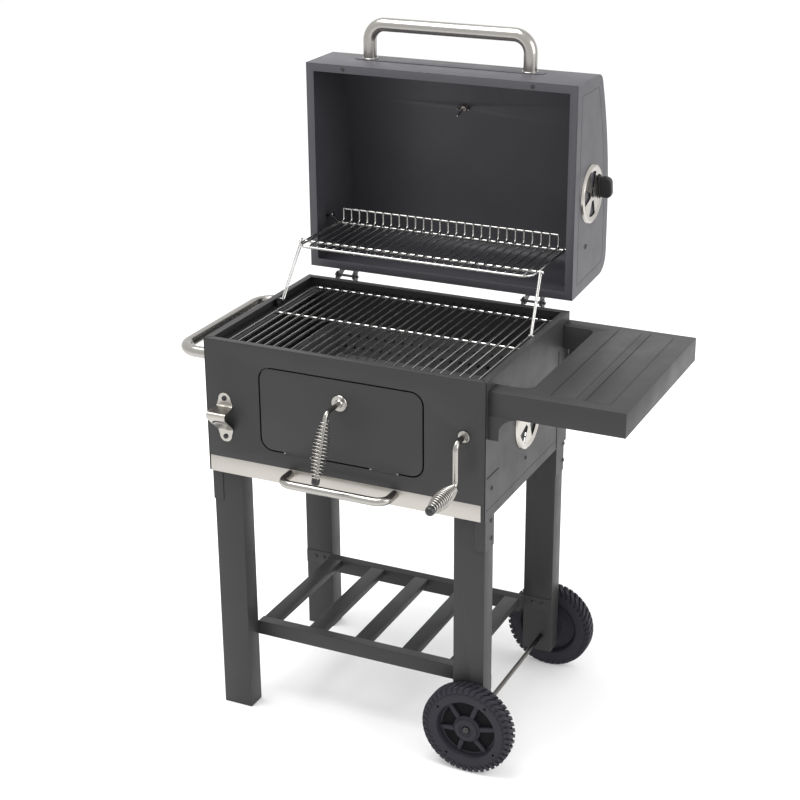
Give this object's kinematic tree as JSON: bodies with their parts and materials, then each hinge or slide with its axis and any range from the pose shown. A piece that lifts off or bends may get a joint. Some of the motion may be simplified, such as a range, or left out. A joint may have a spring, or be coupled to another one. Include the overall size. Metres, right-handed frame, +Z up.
{
  "type": "charcoal grill trolley",
  "caption": "Charcoal grill on a wheeled leg frame with a hinged lid, warming rack, front fire door, crank-lifted charcoal tray, ash drawer, side table and bottom shelf.",
  "frame": {"origin": "centre of the whole object's footprint at floor level, with the lid open", "axes": "+Z up, +X towards the side table and the wheels, -Y towards the cook at the front door"},
  "size_m": [1.0196, 0.865, 1.4515],
  "materials": {
    "powder_coat": "satin fine-textured powder coat",
    "lid_coat": "satin heat-proof coat",
    "polished_tube": "satin stainless tube",
    "stainless_sheet": "brushed stainless sheet",
    "chrome_wire": "bright chrome-plated wire",
    "plated_rod": "nickel-plated rod and spring wire",
    "black_plastic": "moulded heat-resistant plastic",
    "wheel_plastic": "blown blue-black plastic",
    "dark_steel": "matt enamelled steel",
    "hinge_black": "black coated steel",
    "zinc_fastener": "zinc-plated",
    "gauge_steel": "spun steel case"
  },
  "bodies": {
    "frame": {"front_panel": "powder_coat", "rear_panel": "powder_coat", "left_panel": "powder_coat", "right_panel": "powder_coat", "firebox_rim": "powder_coat", "front_left_leg": "powder_coat", "rear_left_leg": "powder_coat", "front_right_leg": "powder_coat", "rear_right_leg": "powder_coat", "corner_brackets": "powder_coat", "shelf_front_rail": "powder_coat", "shelf_rear_rail": "powder_coat", "shelf_slats": "powder_coat", "side_table": "powder_coat", "table_brackets": "powder_coat", "side_handle": "polished_tube", "bottle_opener": "stainless_sheet", "drawer_runners": "dark_steel", "grate_ledges": "powder_coat", "cooking_grate": "chrome_wire", "tray_guides": "dark_steel", "hinge_brackets": "hinge_black", "hinge_pins": "zinc_fastener", "rack_foot_pegs": "zinc_fastener", "vent_rivet": "zinc_fastener", "door_hinge_pins": "zinc_fastener", "frame_screws": "zinc_fastener", "axle": "plated_rod", "axle_nuts": "zinc_fastener", "crank_bearing": "dark_steel"},
    "front_wheel": {"front_wheel": "wheel_plastic"},
    "rear_wheel": {"rear_wheel": "wheel_plastic"},
    "lid": {"lid_shell": "lid_coat", "lid_left_side": "lid_coat", "lid_right_side": "lid_coat", "lid_rim": "lid_coat", "lid_handle": "polished_tube", "lid_handle_plate": "lid_coat", "lid_hinge_leaves": "hinge_black", "lid_fasteners": "zinc_fastener", "thermometer": "gauge_steel"},
    "lid_damper": {"lid_damper": "stainless_sheet", "lid_damper_knob": "black_plastic"},
    "firebox_damper": {"firebox_damper": "stainless_sheet", "firebox_damper_knob": "black_plastic"},
    "warming_rack": {"warming_rack": "chrome_wire"},
    "rack_legs": {"rack_legs": "chrome_wire"},
    "door": {"front_door": "powder_coat", "door_handle": "polished_tube", "door_grip": "plated_rod", "door_grip_cap": "black_plastic"},
    "drawer": {"ash_drawer": "dark_steel", "drawer_front": "stainless_sheet", "drawer_handle": "polished_tube"},
    "crank": {"crank": "plated_rod", "crank_grip": "plated_rod", "crank_cap": "black_plastic"},
    "lift_carriage": {"lift_carriage": "dark_steel"},
    "charcoal_tray": {"charcoal_tray": "dark_steel"}
  },
  "joints": [
    {"name": "lid_hinge", "type": "hinge", "parent": "frame", "child": "lid", "pos_m": [-0.08725, 0.2185, 0.879], "axis": [1, 0, 0], "range_deg": [0, 90]},
    {"name": "rack_pivot", "type": "hinge", "parent": "lid", "child": "warming_rack", "pos_m": [-0.08725, 0.2935, 0.994], "axis": [1, 0, 0], "range_deg": [-90, 0]},
    {"name": "rack_leg_pivot", "type": "hinge", "parent": "warming_rack", "child": "rack_legs", "pos_m": [-0.08725, 0.1115, 0.985], "axis": [1, 0, 0], "range_deg": [0, 90]},
    {"name": "door_hinge", "type": "hinge", "parent": "frame", "child": "door", "pos_m": [-0.08725, -0.26075, 0.64675], "axis": [1, 0, 0], "range_deg": [0, 80]},
    {"name": "drawer_slide", "type": "slide", "parent": "frame", "child": "drawer", "axis": [0, 1, 0], "range_m": [-0.35, 0]},
    {"name": "crank_turn", "type": "hinge", "parent": "frame", "child": "crank", "pos_m": [0.18375, -0.2615, 0.755], "axis": [0, -1, 0], "range_deg": [0, 1890]},
    {"name": "carriage_slide", "type": "slide", "parent": "frame", "child": "lift_carriage", "axis": [0, 1, 0], "range_m": [0, 0.0631]},
    {"name": "tray_lift", "type": "slide", "parent": "frame", "child": "charcoal_tray", "axis": [0, 0, 1], "range_m": [-0.0631, 0]},
    {"name": "lid_damper_turn", "type": "hinge", "parent": "lid", "child": "lid_damper", "pos_m": [0.22975, 0.3175, 1.106], "axis": [1, 0, 0], "range_deg": [0, 45]},
    {"name": "firebox_damper_turn", "type": "hinge", "parent": "frame", "child": "firebox_damper", "pos_m": [0.22975, -0.0375, 0.716], "axis": [1, 0, 0], "range_deg": [0, 45]},
    {"name": "front_wheel_spin", "type": "hinge", "parent": "frame", "child": "front_wheel", "pos_m": [0.20275, -0.2715, 0.101], "axis": [0, 1, 0], "continuous": true},
    {"name": "rear_wheel_spin", "type": "hinge", "parent": "frame", "child": "rear_wheel", "pos_m": [0.20275, 0.2145, 0.101], "axis": [0, 1, 0], "continuous": true}
  ],
  "couplings": [
    {"joint": "rack_pivot", "follows": "lid_hinge", "ratio": -1},
    {"joint": "rack_leg_pivot", "follows": "lid_hinge", "ratio": 1},
    {"joint": "carriage_slide", "follows": "crank_turn", "m_per_rad": 0.0019099},
    {"joint": "tray_lift", "follows": "crank_turn", "m_per_rad": -0.0019099}
  ]
}
